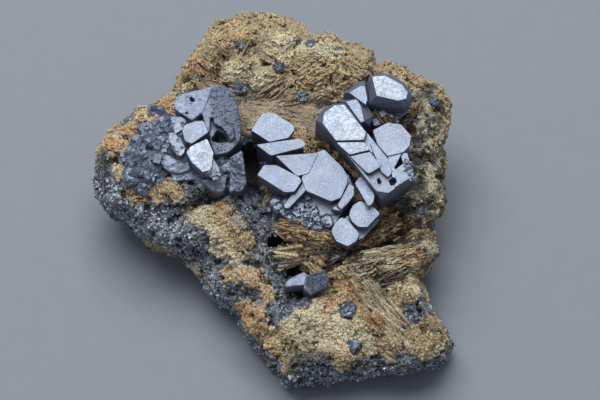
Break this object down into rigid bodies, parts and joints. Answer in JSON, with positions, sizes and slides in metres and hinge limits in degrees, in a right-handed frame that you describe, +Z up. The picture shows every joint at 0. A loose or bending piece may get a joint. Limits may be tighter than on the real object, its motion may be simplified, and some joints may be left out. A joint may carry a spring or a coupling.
{
  "type": "skeletal galena specimen",
  "caption": "Skeletal galena: stepped, hopper-grown lead-grey crystal clusters on a wedge of tan fibrous rock with dark granular flanks.",
  "frame": {"origin": "centre of the specimen's bounding box on the surface that it rests on", "axes": "+Z up, -Y towards the low front edge of the rock, +X towards the right-hand crystal group as seen from the front"},
  "size_m": [0.11, 0.1134, 0.0512],
  "materials": {
    "rock": "rough tan fibrous and sugary rock, rust-stained, passing into dark granular sulphide on the left and front flanks",
    "galena_bright": "lead-grey metallic crystal faces with a fine sandblasted satin sheen, darker side faces and sharp bright edges",
    "galena_tarnished": "dull blue-grey tarnished galena, finely pitted",
    "dark_sulphide": "black-grey glittering fine-grained sulphide"
  },
  "bodies": {
    "root": {"matrix": "rock", "galena_skeletal_crystal": "galena_bright", "galena_crest_crystal": "galena_bright", "galena_twin_steps": "galena_bright", "galena_west_block": "galena_bright", "galena_central_cluster": "galena_bright", "galena_south_cluster": "galena_bright", "galena_north_plate": "galena_bright", "galena_north_strip": "galena_bright", "galena_left_upper_block": "galena_bright", "galena_left_lower_block": "galena_bright", "galena_hopper_crystal": "galena_tarnished", "galena_left_plates": "galena_bright", "galena_crescent_plates": "galena_tarnished", "galena_pillar": "galena_tarnished", "galena_tarnished_mass": "galena_tarnished", "galena_small_cube": "galena_tarnished", "dark_grain_1": "dark_sulphide", "dark_grain_2": "dark_sulphide", "dark_grain_3": "dark_sulphide", "dark_grain_4": "dark_sulphide", "dark_grain_5": "dark_sulphide", "dark_grain_6": "dark_sulphide", "dark_grain_7": "dark_sulphide", "dark_grain_8": "dark_sulphide", "dark_grain_9": "dark_sulphide", "dark_grain_10": "dark_sulphide", "dark_grain_11": "dark_sulphide"}
  },
  "joints": []
}
